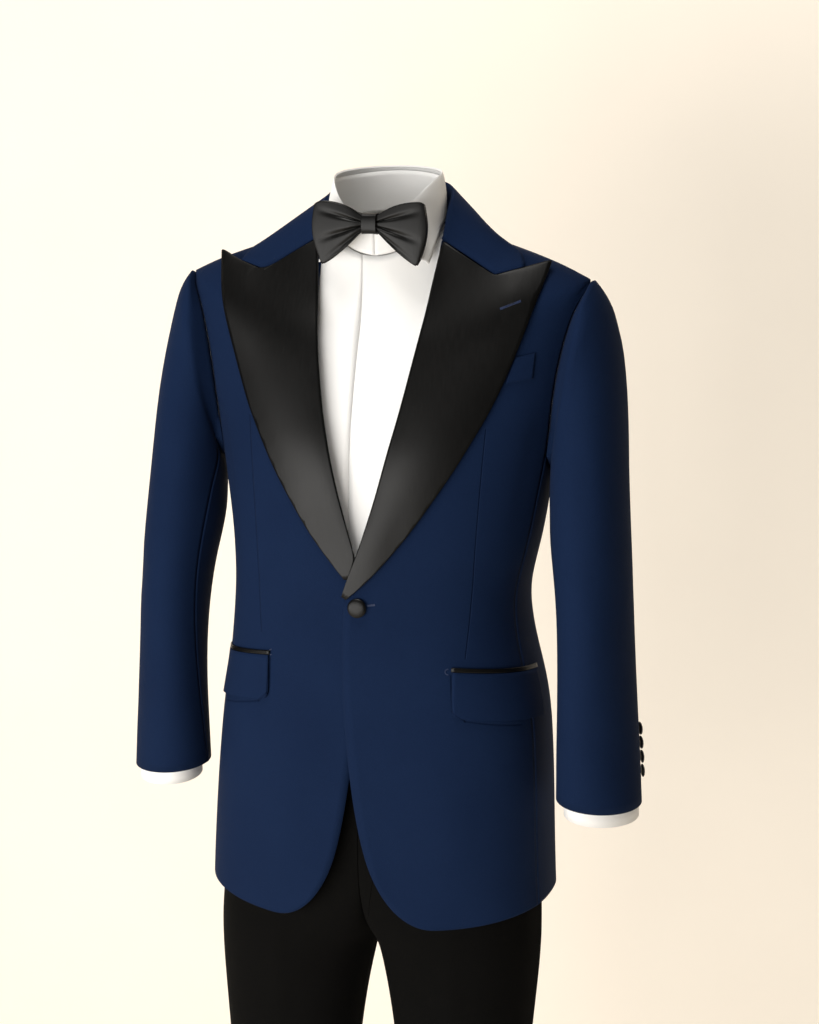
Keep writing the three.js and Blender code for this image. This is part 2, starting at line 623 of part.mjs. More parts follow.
// A domed button: its profile turned about an axis, sitting at a point.
function button(name, material, at, axis, across, thick, around) {
  const r = across / 2;
  const profile = [[0.72, 0], [0.97, 0.22], [1, 0.45], [0.86, 0.78], [0.5, 0.96]];
  const turnTo = new THREE.Quaternion().setFromUnitVectors(V(0, 0, 1), axis.clone().normalize());
  const placeAt = (x, y, z) => V(x, y, z).applyQuaternion(turnTo).add(at);
  const positions = profile.flatMap(([k, h]) =>
    times(around).map((j) => {
      const a = (j / around) * 2 * Math.PI;
      return placeAt(r * k * Math.cos(a), r * k * Math.sin(a), h * thick);
    }));
  const low = positions.push(placeAt(0, 0, 0)) - 1;
  const high = positions.push(placeAt(0, 0, thick)) - 1;
  const faces = [];
  const rim = (i, j) => i * around + (j % around);
  const top = profile.length - 1;
  for (const j of times(around)) {
    faces.push([low, rim(0, j + 1), rim(0, j)], [high, rim(top, j), rim(top, j + 1)]);
    for (const i of times(top)) {
      faces.push([rim(i, j), rim(i, j + 1), rim(i + 1, j + 1)]);
      faces.push([rim(i, j), rim(i + 1, j + 1), rim(i + 1, j)]);
    }
  }
  add(solid(name, material, positions, faces));
}

const frontButtonAt = overFront(true, 2.5, BUTTON_Z, 0.05);
const frontButtonAxis = V(0.03, -1, 0.06);
button("front_button", satin, frontButtonAt, frontButtonAxis, FRONT_BUTTON.across, FRONT_BUTTON.thick, 20);

// The cuff buttons stand in a row beside the hindarm seam, edge to edge.
const CUFF_ROW = { low: -585, facet: 17, share: 0.75 };
for (const { tag, left } of SIDES)
  for (const k of times(SLEEVE_BUTTON.count)) {
    const z = CUFF_ROW.low + SLEEVE_BUTTON.pitch * k;
    const middle = (height, share) => {
      const [a, b] = [CUFF_ROW.facet, CUFF_ROW.facet + 1].map((c) => {
        const i = sleeve.grid.findIndex((row) => row[c].z < height);
        const [high, low] = [sleeve.grid[i - 1][c], sleeve.grid[i][c]];
        return high.clone().lerp(low, (high.z - height) / (high.z - low.z));
      });
      return a.lerp(b, share);
    };
    const axis = middle(z, 1).sub(middle(z, 0)).cross(middle(z + 7, 0.5).sub(middle(z - 7, 0.5))).normalize();
    if (axis.x < 0) axis.negate();
    const at = middle(z, CUFF_ROW.share).addScaledVector(axis, 0.75);
    const flip = (p) => V(left ? p.x : -p.x, p.y, p.z);
    const { across, thick } = SLEEVE_BUTTON;
    button("sleeve_button_" + tag + (k + 1), black, flip(at), flip(axis), across, thick, 12);
  }

// Shirt

const SHIRT_SEAMS = {
  sideFront: [[0, 90], [7, 90]],
  sideBack: [[0, 90], [7, 90]],
  armFront: [[7, 90], [7.3, 78], [7.7, 71.5], [8, 70], [9, 71.5], [10, 74.5], [11, 90]],
  armBack: [[7, 90], [7.3, 101], [7.7, 107], [8, 109], [9, 107], [10, 104.5], [11, 90]],
};
const SHIRT_ROWS = [0, 2, 4, 6, 7];
const SHIRT_CHEST = [7.3, 7.7, 8, 9, 10, 11, 12, 13, 14, 15];
const PLACKET = 14; // the left front's edge lies this far past the centre
bodySheets(SHIRT, SHIRT_WALL, white, { front: "shirt_front" }, {
  rows: SHIRT_ROWS,
  chest: SHIRT_CHEST,
  cols: { front: 9, side: 2, back: 2 },
  seams: SHIRT_SEAMS,
  frontGap: SEAM,
  frontTurn: (point, v, left) => turnForX(point, left ? -PLACKET : PLACKET, v),
});
{
  const point = (turn, v) => bodyPoint(SHIRT, turn, v);
  const turns = [...SHIRT_ROWS, ...SHIRT_CHEST].map((v) => {
    const from = v <= 7 ? 90 : v < 11 ? along(SHIRT_SEAMS.armBack, v) : 90;
    return spread(v, from, 360 - from, 11);
  });
  const { grid, normals } = bodySheet(point, turns);
  add(cloth("shirt_back", white, standBack(grid, { in: SEAM, out: SEAM }), normals, SHIRT_WALL));
}

const shirtSleeve = sleeveGrid(SHIRT, SHIRT_SEAMS, [11, 10, 9, 8, 7.7, 7.3, 7], 0, SHIRT_SLEEVE);
const CUFF = [
  [-551.4, -2, 248.2, -34.3, 33.2, 45.2, -27],
  [-590, -3, 250, -33.5, 34.6, 45.6, -32],
  [-630, -4, 251.5, -33, 35.5, 45.5, -37],
];
for (const { tag, left, place } of SIDES) {
  const out = flipX(shirtSleeve.normals, left);
  add(cloth("shirt_sleeve_" + tag, white, place(shirtSleeve.grid), out, SHIRT_WALL, true));
  // The cuff laps round a little further than the sleeve that it is sewn to.
  const angles = times(20).map((k) => 18 * k);
  const grid = CUFF.map((row) => armRing(row, angles));
  add(cloth("shirt_cuff_" + tag, white, place(grid), flipX(gridNormals(grid, true), left), SHIRT_WALL, true));
}

// Shirt collar: an upright band and the leaf folded over it.
const BAND = [
  [-33.4, -1.4, 5.6, 60.6, -46.2, 56, 2],
  [-16, 24, 31, 60, -47.5, 57, 2],
  [-0.5, 46, 52.5, 59.6, -49, 58.2, 2],
];
function bandGrid(rows, cols, gap) {
  return rows.map((row) => times(cols).map((j) => {
    const turn = lerp(gap, 360 - gap, j / (cols - 1));
    return bodyPoint([row, row], turn, 0);
  }));
}
const stand = bandGrid(BAND, 27, 0.6);
add(cloth("shirt_collar_stand", white, stand, gridNormals(stand, false, 1), SHIRT_WALL));

// Stations of the leaf from its spread front to the centre back: along its fold, and along its lower edge.
const LEAF_FOLD = [
  [10, -55, 6], [25, -51, 11], [42, -40.5, 25.5], [54, -22, 43], [61, 1, 51], [53, 29, 54.5],
  [35.5, 48.6, 56.5], [18, 57, 57.5], [0.001, 59.6, 58],
];
const LEAF_LOW = [
  [61, -51, -41], [63, -42.5, -31.5], [63.5, -31, -19], [65, -15, -4], [65.5, 5, 6], [57.5, 30, 12],
  [38.5, 50.6, 14.5], [19.5, 60.4, 15.6], [0.001, 63, 16],
];
const leafHalf = LEAF_FOLD.map((f, k) => {
  const [fold, low] = [V(...f), V(...LEAF_LOW[k])];
  const out = V(fold.x * 0.9, fold.y, 0).normalize();
  const lip = fold.clone().addScaledVector(out, -1.3).add(V(0, 0, -1.8));
  const shoulder = fold.clone().addScaledVector(out, 1.8).add(V(0, 0, -3));
  return [lip, fold, shoulder, ...[0.34, 0.67, 1].map((t) =>
    shoulder.clone().lerp(low, t).addScaledVector(out, 1.6 * Math.sin(Math.PI * t)))];
});
const leafGrid = [...leafHalf, ...mirror(leafHalf).reverse().slice(1)];
const leafNormals = gridNormals(leafGrid, false, 1);
if (leafNormals[7][3].y < 0) for (const row of leafNormals) for (const n of row) n.negate();
add(cloth("shirt_collar_leaf", white, leafGrid, leafNormals, SHIRT_WALL));

// Bow tie

const BOW = { y: -63.6, z: 1, knotHalf: 8.2, knotHigh: 11.4, knotDeep: 8, knotBack: 2.7 };
// Half of a wing's outline: distance out, top and bottom over the knot's centre, and depth.
const WING = ["x", "top", "low", "deep"];
const WINGS = [
  [5.8, 7.4, -7.4, 2.8], [9.2, 8.6, -8.6, 3.8], [18, 14.5, -17, 7.6], [30, 20, -28, 8],
  [44, 23, -39, 8], [55, 23.5, -43, 6.4], [60, 20, -36, 4],
];
function wingGrid() {
  const heights = times(6).map((i) => i / 5);
  const grid = heights.map((h) => {
    const at = (row, face) => {
      const r = Object.fromEntries(WING.map((name, i) => [name, row[i]]));
      const bulge = 1 + 0.35 * Math.sin(Math.PI * h);
      // The open end of the wing is bowed: it reaches furthest out at its middle.
      const pull = r.x > 50 ? 5 * Math.sin(Math.PI * h) - 4 * (1 - h) : 0;
      const deep = (r.deep * bulge) / 2 + SATIN_WALL * 0.6;
      return V(r.x + pull * smooth((r.x - 40) / 20), BOW.y - face * deep, BOW.z + lerp(r.low, r.top, h));
    };
    return [...WINGS.map((row) => at(row, 1)), ...WINGS.slice().reverse().map((row) => at(row, -1))];
  });
  return grid;
}
for (const { tag, left, place } of SIDES) {
  const grid = wingGrid();
  const normals = gridNormals(grid, true, 1);
  add(cloth("bow_wing_" + tag, satin, place(grid), flipX(normals, left), SATIN_WALL, true));
}
{
  // The knot is a band wrapped round the wings' inner ends, open at its sides.
  const around = times(16).map((k) => (k / 16) * 2 * Math.PI);
  const grid = times(3).map((i) => {
    const x = lerp(-BOW.knotHalf, BOW.knotHalf, i / 2);
    const waist = 1 - 0.05 * Math.sin((Math.PI * i) / 2);
    return around.map((a) => {
      const [c, s] = [Math.cos(a), Math.sin(a)];
      const e = 2 / 3.2;
      const y = BOW.y + BOW.knotBack - BOW.knotDeep * waist * Math.sign(c) * Math.abs(c) ** e;
      return V(x, y, BOW.z + BOW.knotHigh * waist * Math.sign(s) * Math.abs(s) ** e);
    });
  });
  add(cloth("bow_knot", satin, grid, gridNormals(grid, true, -1), SATIN_WALL, true));
  const STRAP = [
    [-9, 15, 24, 62.4, -52.4, 59.4, 2],
    [10, 31, 40, 62.2, -52.4, 59.4, 2],
  ];
  const strap = STRAP.map((row) => times(26).map((j) => bodyPoint([row, row], (360 * j) / 26, 0)));
  add(cloth("bow_band", satin, strap, gridNormals(strap, true, 1), 0.9, true));
}

// Trousers

// Rings of the left leg: height, outseam, its depth, front and back depths, and where the inner ends lie.
const LEG = ["z", "outer", "yOuter", "xMid", "yFront", "yBack", "xIn", "inFront", "inBack"];
const LEGS = [
  [-482, 159.6, -4, 64, -100.4, 84.6, 0, -100.4, 84.6],
  [-540, 168, -6, 56, -102, 88, 0, -102, 88],
  [-600, 176, -6, 60, -102, 92, 0, -102, 92],
  [-660, 182, -8, 66, -101, 95, 0, -101, 95],
  [-710, 185.5, -12, 76, -100, 96, 0, -97, 91],
  [-750, 187, -16, 84, -99, 94, 0, -86, 74],
  [-778, 188, -20, 90, -98, 91, 0, -64, 42],
  [-797, 188, -22, 95, -97, 88, 0, -26, -16],
  [-830, 186.5, -25, 97, -96, 83, 7, -22, -22],
  [-880, 182, -28, 99, -94, 73, 17, -24, -24],
  [-950, 176, -30, 100, -91, 61, 26, -26, -26],
  [-1060, 168, -32, 101, -88, 46, 34, -28, -28],
  [-1200, 160, -34, 100, -86, 35, 39, -30, -30],
  [-1380, 154, -34, 98, -87, 32, 43, -30, -30],
  [-1560, 151, -34, 98, -92, 32, 45, -30, -30],
];
const QUARTER = 4;
function legRow(row, left) {
  const r = Object.fromEntries(LEG.map((name, i) => [name, row[i]]));
  const arc = (yIn, yMid) => [
    ...times(QUARTER).map((k) => {
      const a = deg((90 * k) / QUARTER);
      return V(r.xMid + (r.xIn - r.xMid) * Math.cos(a), yIn + (yMid - yIn) * Math.sin(a), r.z);
    }),
    ...times(QUARTER + 1).map((k) => {
      const a = deg((90 * k) / QUARTER);
      return V(r.xMid + (r.outer - r.xMid) * Math.sin(a), r.yOuter + (yMid - r.yOuter) * Math.cos(a), r.z);
    }),
  ];
  const swayed = (points) => points.map((p) => p.add(V(sway(r.z, left), 0, 0)));
  return { front: swayed(arc(r.inFront, r.yFront)), back: swayed(arc(r.inBack, r.yBack)) };
}
for (const { tag, left, place } of SIDES) {
  const rows = LEGS.map((row) => legRow(row, left));
  // Front from the inner end out to the outseam, then the back from there in again.
  const whole = rows.map((r) => [...r.front, ...r.back.slice().reverse().slice(1)]);
  const normals = gridNormals(whole, true, -1);
  const closed = LEGS.findIndex((row) => row[6] > 0);
  for (const [i, row] of normals.entries()) {
    for (const j of [0, row.length - 1]) {
      const up = whole[Math.max(0, i - 1)][j], down = whole[Math.min(whole.length - 1, i + 1)][j];
      if (i >= closed) {
        const across = whole[i][1].clone().sub(whole[i][row.length - 2]);
        row[j] = across.cross(up.clone().sub(down)).normalize();
      } else {
        const rise = Math.abs(up.z - down.z), run = Math.abs(up.y - down.y);
        row[j] = V(0, j ? rise : -rise, -run).normalize();
      }
    }
  }
  const cols = whole[0].length, seam = 2 * QUARTER;
  const pick = (g, from, to) => g.map((row) => row.slice(from, to + 1));
  const gaps = { in: 0.2, out: 0.2 };
  for (const [name, from, to] of [["trouser_front_", 0, seam], ["trouser_back_", seam, cols - 1]]) {
    const grid = standBack(pick(whole, from, to), gaps);
    add(cloth(name + tag, black, place(grid), flipX(pick(normals, from, to), left), TROUSER_WALL));
  }
}
const WAISTBAND = [
  [-481.6, -481.6, -481.6, 158.1, -99.9, 82.9, 2.4],
  [-444, -444, -444, 158.2, -100.6, 83.4, 2.4],
];
const waistband = bandGrid(WAISTBAND, 33, 0.4);
add(cloth("waistband", black, waistband, gridNormals(waistband, false, 1), TROUSER_WALL));

export default group;
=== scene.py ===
# %% [markdown]
# A dinner suit is flat cloth made round by its cut. The solids of the suit come in as a fixed
# frame, and each cloth piece is then made again on its own solid: a thin shell, smoothed, creased
# and given a finish. Every size is in metres.

# %% Load the frame
import json
import math

import bmesh
import bpy
import numpy as np
from mathutils import Matrix, Vector
from mathutils.bvhtree import BVHTree


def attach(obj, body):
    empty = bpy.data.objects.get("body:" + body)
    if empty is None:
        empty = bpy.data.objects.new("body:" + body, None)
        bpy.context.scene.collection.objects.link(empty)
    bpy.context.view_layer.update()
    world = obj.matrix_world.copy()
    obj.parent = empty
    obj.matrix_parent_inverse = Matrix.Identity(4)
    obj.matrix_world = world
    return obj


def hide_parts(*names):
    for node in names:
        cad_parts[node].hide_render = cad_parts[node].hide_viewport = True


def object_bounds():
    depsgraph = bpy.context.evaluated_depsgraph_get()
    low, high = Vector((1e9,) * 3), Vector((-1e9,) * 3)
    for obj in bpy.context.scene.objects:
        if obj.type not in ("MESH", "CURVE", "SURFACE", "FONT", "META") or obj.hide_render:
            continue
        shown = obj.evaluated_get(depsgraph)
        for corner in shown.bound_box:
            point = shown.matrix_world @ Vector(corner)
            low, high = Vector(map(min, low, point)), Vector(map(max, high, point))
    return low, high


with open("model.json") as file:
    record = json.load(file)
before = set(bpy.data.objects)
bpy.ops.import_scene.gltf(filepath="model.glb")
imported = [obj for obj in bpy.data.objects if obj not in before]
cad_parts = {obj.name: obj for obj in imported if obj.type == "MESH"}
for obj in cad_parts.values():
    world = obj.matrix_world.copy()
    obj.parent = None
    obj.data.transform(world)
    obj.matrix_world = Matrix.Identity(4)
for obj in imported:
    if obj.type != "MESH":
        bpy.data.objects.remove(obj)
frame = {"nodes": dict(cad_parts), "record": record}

NODES = frame["nodes"]
SLOT_OF = {part["node"]: part["material_slot"] for part in frame["record"]["subparts"]}
MM = 0.001
CAD_BOX = [list(corner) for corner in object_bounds()]
print("nodes", len(NODES), "box", CAD_BOX)

# %% [markdown]
# The photograph was taken from a little to the wearer's left and above the chest. The camera goes
# first, because threads and marks are placed by looking through it onto the cloth.

# %% Camera
PICTURE = (819, 1024)
LENS_PIXELS = 2125
CAMERA_AWAY = 2.3
CAMERA_HIGH = 0.129
CAMERA_ROUND = math.radians(17.5)
AIM_RIGHT = math.radians(0.58)
LOOK_DOWN = math.radians(11.0)

bpy.ops.object.select_all(action="DESELECT")
spot = (CAMERA_AWAY * math.sin(CAMERA_ROUND), -CAMERA_AWAY * math.cos(CAMERA_ROUND), CAMERA_HIGH)
turned = (math.radians(90) - LOOK_DOWN, 0, CAMERA_ROUND - AIM_RIGHT)
bpy.ops.object.camera_add(location=spot, rotation=turned)
camera = bpy.context.object
camera.data.sensor_fit = "VERTICAL"
camera.data.sensor_height = 24
camera.data.lens = 24 * LENS_PIXELS / PICTURE[1]
bpy.context.scene.camera = camera
bpy.context.view_layer.update()
print("lens", round(camera.data.lens, 2))


def ray_through(px, py):
    """The camera's place and the direction that passes through a pixel of the picture."""
    turn = camera.matrix_world.to_3x3()
    ray = Vector((px - PICTURE[0] / 2, PICTURE[1] / 2 - py, -LENS_PIXELS))
    return camera.matrix_world.translation, (turn @ ray).normalized()


# %% [markdown]
# A finish is written as sums on values. Value wraps one socket of a material, so that adding or
# multiplying two of them adds the Math node that does it.

# %% Shader values
class Value:
    def __init__(self, finish, socket):
        self.finish = finish
        self.socket = socket

    def fn(self, operation, *others):
        inputs = dict(enumerate([self, *others]))
        return self.finish.node("ShaderNodeMath", {"operation": operation}, inputs)

    def __add__(self, other):
        return self.fn("ADD", other)

    def __radd__(self, other):
        return self.fn("ADD", other)

    def __mul__(self, other):
        return self.fn("MULTIPLY", other)

    def __rmul__(self, other):
        return self.fn("MULTIPLY", other)

    def __sub__(self, other):
        return self.fn("SUBTRACT", other)

    def __rsub__(self, other):
        return self.fn("MULTIPLY", -1.0).fn("ADD", other)

    def __truediv__(self, other):
        return self.fn("DIVIDE", other)

    def held(self):
        """The value kept between 0 and 1."""
        return self.fn("MAXIMUM", 0.0).fn("MINIMUM", 1.0)


class Finish:
    def __init__(self, name, roughness, **fixed):
        self.material = bpy.data.materials.new(name)
        self.material.use_nodes = True
        self.tree = self.material.node_tree
        self.shader = self.tree.nodes["Principled BSDF"]
        self.shader.inputs["Roughness"].default_value = roughness
        for socket, value in fixed.items():
            self.shader.inputs[socket.replace("_", " ")].default_value = value

    def node(self, kind, settings, inputs, out=0):
        made = self.tree.nodes.new(kind)
        for name, value in settings.items():
            setattr(made, name, value)
        for name, value in inputs.items():
            if isinstance(value, Value):
                self.tree.links.new(value.socket, made.inputs[name])
            else:
                made.inputs[name].default_value = value
        return Value(self, made.outputs[out])

    def axes(self, kind):
        """The three numbers of the object's own place, or of its cut cloth."""
        place = self.node("ShaderNodeTexCoord", {}, {}, kind)
        return [self.node("ShaderNodeSeparateXYZ", {}, {0: place}, axis) for axis in range(3)]

    def noise(self, scale, detail=2.0, stretch=(1, 1, 1), kind="Object"):
        place = self.node("ShaderNodeTexCoord", {}, {}, kind)
        moved = self.node("ShaderNodeMapping", {}, {"Vector": place, "Scale": stretch})
        return self.node("ShaderNodeTexNoise", {}, {"Vector": moved, "Scale": scale, "Detail": detail})

    def mix(self, amount, dark, light):
        inputs = {0: amount, 6: dark, 7: light}
        return self.node("ShaderNodeMix", {"data_type": "RGBA"}, inputs, 2)

    def to(self, socket, value):
        self.tree.links.new(value.socket, self.shader.inputs[socket])

    def bump(self, height, depth):
        inputs = {"Height": height, "Distance": depth, "Strength": 1.0}
        self.to("Normal", self.node("ShaderNodeBump", {}, inputs))

    def line(self, start, end, width):
        """1 on a straight line drawn on the cloth in x and z, and 0 away from it."""
        x, _, z = self.axes("Object")
        dx, dz = end[0] - start[0], end[1] - start[1]
        long = dx * dx + dz * dz
        share = ((x - start[0]) * (dx / long) + (z - start[1]) * (dz / long)).held()
        off_x = x - start[0] - share * dx
        off_z = z - start[1] - share * dz
        off = (off_x * off_x + off_z * off_z).fn("SQRT")
        return (1 - off / width).held()

    def facing(self, front):
        """1 on the front half of the suit, or on its back half."""
        y = self.axes("Object")[1]
        return y.fn("LESS_THAN", 0.0) if front else y.fn("GREATER_THAN", 0.0)


# %% [markdown]
# Worsted wool is a twill: fine diagonal ribs with a soft, uneven nap. The ribs follow the cut
# cloth, so they read its own map. Darts and the fly are shallow darkened seam lines. Along the free
# edge of each pocket flap a shallow groove carries painted shade, where the flap shadows the cloth.

# %% Wool
TWILL_PITCH = 1.3 * MM
RIB_HEIGHT = 0.25
MARK_DEPTH = 4.0
# How dark a mark makes the wool: a seam's dark line, or painted shade along a pocket flap's edge.
SEAM_AND_PAINTED_SHADE = 0.3
NAP_ROUGHNESS = 0.12


def wool(name, dark, light, marks=(), roughness=0.78, sheen=0.008):
    made = Finish(
        name, roughness, Sheen_Weight=sheen, Sheen_Roughness=0.5, Specular_IOR_Level=0.035)
    u, v, _ = made.axes("UV")
    rib = ((u + v) * (2 * math.pi / TWILL_PITCH)).fn("SINE")
    nap = made.noise(900.0, 3.0)
    tone = made.noise(9.0, 3.0)
    height = rib * RIB_HEIGHT + nap
    amount = nap * 0.5 + tone * 0.35 + rib * 0.06
    # Marks groove and darken the wool: seam lines at darts and fly, painted shade at flap edges.
    for start, end, front, width in marks:
        mark = made.line(start, end, width) * made.facing(front)
        height = height - mark * MARK_DEPTH
        amount = amount - mark * SEAM_AND_PAINTED_SHADE
    made.to("Base Color", made.mix(amount.held(), dark, light))
    made.to("Roughness", nap * NAP_ROUGHNESS + (roughness - NAP_ROUGHNESS / 2))
    made.bump(height, 0.16 * MM)
    return made.material


# A mark is its two ends in x and z, whether it is on the front, and its half width.
DART = 0.9 * MM
# Half width of the painted shade line along a pocket flap's edge.
FLAP_SHADE_HALF_WIDTH = 1.7 * MM
CHEST_DART = [((0.131, -0.209), (0.115, -0.452)), ((-0.132, -0.205), (-0.114, -0.438))]
FLY = [((0.004, -0.50), (0.022, -0.66)), ((0.022, -0.66), (0.004, -0.755))]
# Painted shade along the free edge of each pocket flap, where the flap shadows the jacket,
# from its rear corner round to its front one.
FLAP_SHADE_LINES = [
    [(0.168, -0.5285), (0.117, -0.5185), (0.1045, -0.508), (0.1017, -0.470)],
    [(-0.168, -0.5285), (-0.117, -0.5150), (-0.1045, -0.504), (-0.1017, -0.466)],
]
navy_marks = [(a, b, True, DART) for a, b in CHEST_DART]
# The flap edges darken the navy as painted shade, where each flap shadows the jacket.
navy_marks += [(a, b, True, FLAP_SHADE_HALF_WIDTH) for edge in FLAP_SHADE_LINES for a, b in zip(edge, edge[1:])]
navy = wool("navy worsted", (0.0030, 0.0084, 0.0285, 1), (0.0088, 0.0215, 0.062, 1), navy_marks)
black_marks = [(a, b, True, DART) for a, b in FLY]
black = wool(
    "black worsted", (0.0018, 0.0018, 0.0018, 1), (0.0048, 0.0047, 0.0044, 1), black_marks,
    roughness=0.85, sheen=0.004)

# %% [markdown]
# Silk satin floats its threads over the ground, so it is smooth along them: a broad dim gloss with
# fine streaks. Its roughness wanders a little, which keeps the gloss from looking like plastic.

# %% Satin, shirting and button
satin_finish = Finish("black satin", 0.4, Specular_IOR_Level=0.20)
thread = satin_finish.noise(500.0, 2.0, (1.0, 0.12, 1.0), "UV")
drift = satin_finish.noise(14.0, 2.0)
SATIN_TONES = (0.0010, 0.0010, 0.0010, 1), (0.0034, 0.0033, 0.0032, 1)
satin_finish.to("Base Color", satin_finish.mix(thread, *SATIN_TONES))
satin_finish.to("Roughness", thread * 0.08 + drift * 0.08 + 0.31)
satin_finish.bump(thread, 0.06 * MM)
satin = satin_finish.material

shirting_finish = Finish("white poplin", 0.62, Specular_IOR_Level=0.25, Sheen_Weight=0.08)
u, v, _ = shirting_finish.axes("UV")
WARP_PITCH, WEFT_PITCH = 0.5 * MM, 0.6 * MM
warp = (u * (2 * math.pi / WARP_PITCH)).fn("SINE")
weft = (v * (2 * math.pi / WEFT_PITCH)).fn("SINE")
pressed = shirting_finish.noise(20.0, 2.0, (1.0, 1.0, 0.22))
SHIRT_TONES = (0.82, 0.82, 0.815, 1), (0.90, 0.90, 0.89, 1)
shirting_finish.to("Base Color", shirting_finish.mix(pressed, *SHIRT_TONES))
shirting_finish.bump(warp * weft * 0.05 + pressed, 0.5 * MM)
shirting = shirting_finish.material

button_finish = Finish("cuff button", 0.34, Specular_IOR_Level=0.5)
grain = button_finish.noise(260.0, 3.0)
BUTTON_TONES = (0.004, 0.004, 0.005, 1), (0.016, 0.016, 0.018, 1)
button_finish.to("Base Color", button_finish.mix(grain, *BUTTON_TONES))
button_finish.to("Roughness", grain * 0.2 + 0.26)
button_finish.bump(grain, 0.05 * MM)

FINISH = {
    "navy_wool": navy,
    "black_satin": satin,
    "white_shirting": shirting,
    "black_wool": black,
    "cuff_button": button_finish.material,
}

# %% [markdown]
# Each piece is a shell on its own solid. Its loose triangles are merged and paired into quads, its
# rims are kept sharp, and a subdivision surface rounds what lies between. The cut is found by
# laying the cloth flat, and the same map then carries the weave.

# %% Making a piece on its solid
SHARP = math.radians(50)
MERGE = 0.004 * MM


def alone(obj):
    bpy.ops.object.select_all(action="DESELECT")
    obj.select_set(True)
    bpy.context.view_layer.objects.active = obj


def merged_copy(node):
    piece = bpy.data.objects.new(node + "_cloth", NODES[node].data.copy())
    bpy.context.scene.collection.objects.link(piece)
    alone(piece)
    bpy.ops.object.mode_set(mode="EDIT")
    bpy.ops.mesh.select_all(action="SELECT")
    bpy.ops.mesh.remove_doubles(threshold=MERGE)
    bpy.ops.mesh.tris_convert_to_quads(
        face_threshold=math.radians(40), shape_threshold=math.radians(60))
    bpy.ops.object.mode_set(mode="OBJECT")
    return piece


SHORT = 2.0 * MM  # edges through a wall are shorter than this
CORNER = math.radians(32)
PEAK = math.radians(105)
SOFT_PEAK = 0.3


def mark_rims(piece):
    """Keeps the rims sharp. The short edges through the cloth's thickness keep its corners, such as
    the lapel's notch, but a turned and pressed peak is a little round, so it is kept only in part."""
    shape = bmesh.new()
    shape.from_mesh(piece.data)
    layers = shape.edges.layers.float
    crease = layers.get("crease_edge") or layers.new("crease_edge")
    lapel = piece.name.startswith("lapel")
    for edge in shape.edges:
        angle = edge.calc_face_angle(0) if len(edge.link_faces) == 2 else 0
        corner = lapel and edge.calc_length() < SHORT
        sharp = angle > (CORNER if corner else SHARP)
        edge[crease] = (SOFT_PEAK if corner and angle > PEAK else 1.0) if sharp else 0.0
        edge.seam = sharp
    shape.to_mesh(piece.data)
    shape.free()


def islands(shape):
    seen = set()
    for first in shape.faces:
        if first.index in seen:
            continue
        seen.add(first.index)
        group, todo = [], [first]
        while todo:
            face = todo.pop()
            group.append(face)
            for edge in face.edges:
                if edge.seam:
                    continue
                for other in edge.link_faces:
                    if other.index not in seen:
                        seen.add(other.index)
                        todo.append(other)
        yield group


def lay_flat(piece):
    """Maps the cloth in metres with its grain upright, and returns the cut's width, length and area."""
    if not piece.data.uv_layers:
        piece.data.uv_layers.new(name="cut")
    alone(piece)
    bpy.ops.object.mode_set(mode="EDIT")
    bpy.ops.mesh.select_all(action="SELECT")
    bpy.ops.uv.unwrap(method="ANGLE_BASED", margin=0.001)
    bpy.ops.object.mode_set(mode="OBJECT")
    shape = bmesh.new()
    shape.from_mesh(piece.data)
    shape.faces.ensure_lookup_table()
    uv = shape.loops.layers.uv.active
    best = (0.0, 0.0, 0.0)
    for group in islands(shape):
        loops = [loop for face in group for loop in face.loops]
        flat = np.array([loop[uv].uv for loop in loops])
        high = np.array([loop.vert.co.z for loop in loops])
        real = sum(face.calc_area() for face in group)
        drawn = 0.0
        for face in group:
            ring = np.array([loop[uv].uv for loop in face.loops])
            ahead = np.roll(ring, -1, axis=0)
            drawn += abs((ring[:, 0] * ahead[:, 1] - ring[:, 1] * ahead[:, 0]).sum()) / 2
        if drawn < 1e-12:
            continue
        flat = (flat - flat.mean(0)) * math.sqrt(real / drawn)
        slope = np.linalg.lstsq(np.c_[flat, np.ones(len(flat))], high, rcond=None)[0][:2]
        turn = math.atan2(slope[0], slope[1]) if np.linalg.norm(slope) > 0.2 else 0.0
        c, s = math.cos(turn), math.sin(turn)
        flat = flat @ np.array([[c, s], [-s, c]])
        for loop, place in zip(loops, flat):
            loop[uv].uv = place
        if real > best[2]:
            best = (*(flat.max(0) - flat.min(0)), real)
    # Both faces of the wall are counted, so the cloth is half of the whole surface. Where a tube's
    # front and back lie apart on the map, the cut is as much wider as they are more than one.
    cloth = sum(face.calc_area() for face in shape.faces) / 2
    width, length, largest = best
    if cloth > 1.3 * largest:
        width *= cloth / largest
    shape.to_mesh(piece.data)
    shape.free()
    return width, length, cloth


def subdivide(piece, levels):
    alone(piece)
    rounding = piece.modifiers.new("rounding", "SUBSURF")
    rounding.levels = levels
    rounding.render_levels = levels
    bpy.ops.object.modifier_apply(modifier=rounding.name)


pieces = {}
cuts = {}
LEVEL = {"front_button": 3, "bow_wing_l": 3, "bow_wing_r": 3, "bow_knot": 3}
for node in sorted(NODES):
    piece = merged_copy(node)
    mark_rims(piece)
    cuts[node] = lay_flat(piece)
    subdivide(piece, LEVEL.get(node, 2))
    piece.data.materials.clear()
    piece.data.materials.append(FINISH[SLOT_OF[node]])
    pieces[node] = piece
print("pieces", len(pieces), "faces", sum(len(p.data.polygons) for p in pieces.values()))

# %% [markdown]
# Cloth on a body folds where it is pulled or has room to spare. Each fold is a soft trough or ridge
# along a listed line. The push points out of the body, sleeve or leg, so that the wall's two
# faces and whatever lies on them move together.

